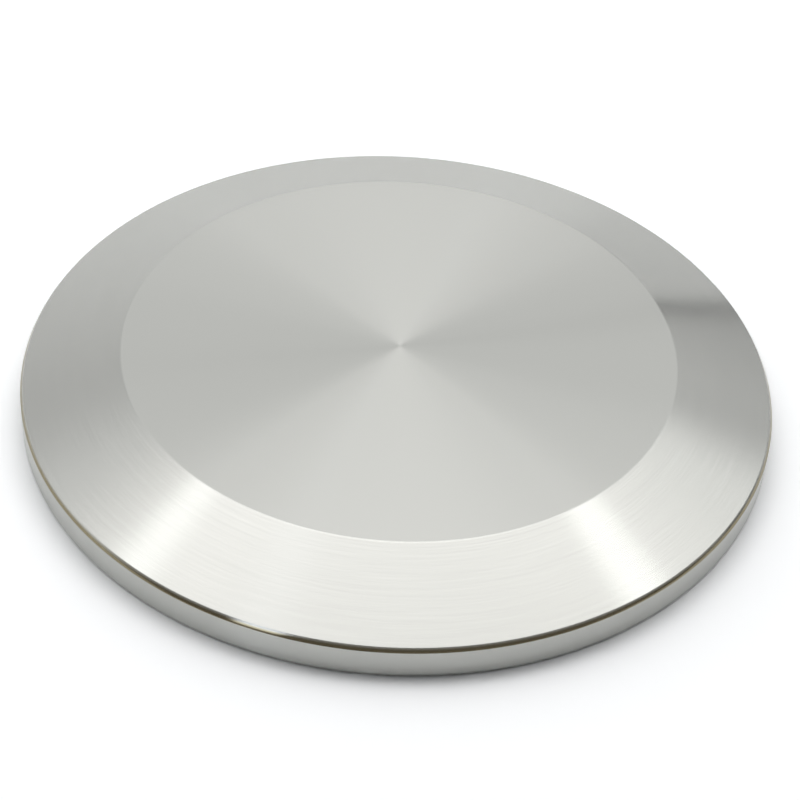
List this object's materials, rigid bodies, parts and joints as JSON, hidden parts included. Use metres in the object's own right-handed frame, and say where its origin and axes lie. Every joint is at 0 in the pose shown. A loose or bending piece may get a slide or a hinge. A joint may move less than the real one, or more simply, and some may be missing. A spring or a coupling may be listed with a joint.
{
  "type": "sanitary clamp end cap",
  "caption": "Round solid end cap that blanks a clamped sanitary tube joint, with a sloped clamping taper and a half-round gasket groove underneath.",
  "frame": {"origin": "centre of the sealing land, the narrow ring that the cap stands on and that meets the ferrule", "axes": "+Z is the turning axis, from the land out through the bare outer face; X and Y lie in the plane of the land, and all directions round the axis are alike"},
  "size_m": [0.064, 0.064, 0.006],
  "materials": {
    "turned_steel": "fine concentric turning marks, polished at the rolled edges"
  },
  "bodies": {
    "root": {"end_cap": "turned_steel"}
  },
  "joints": []
}
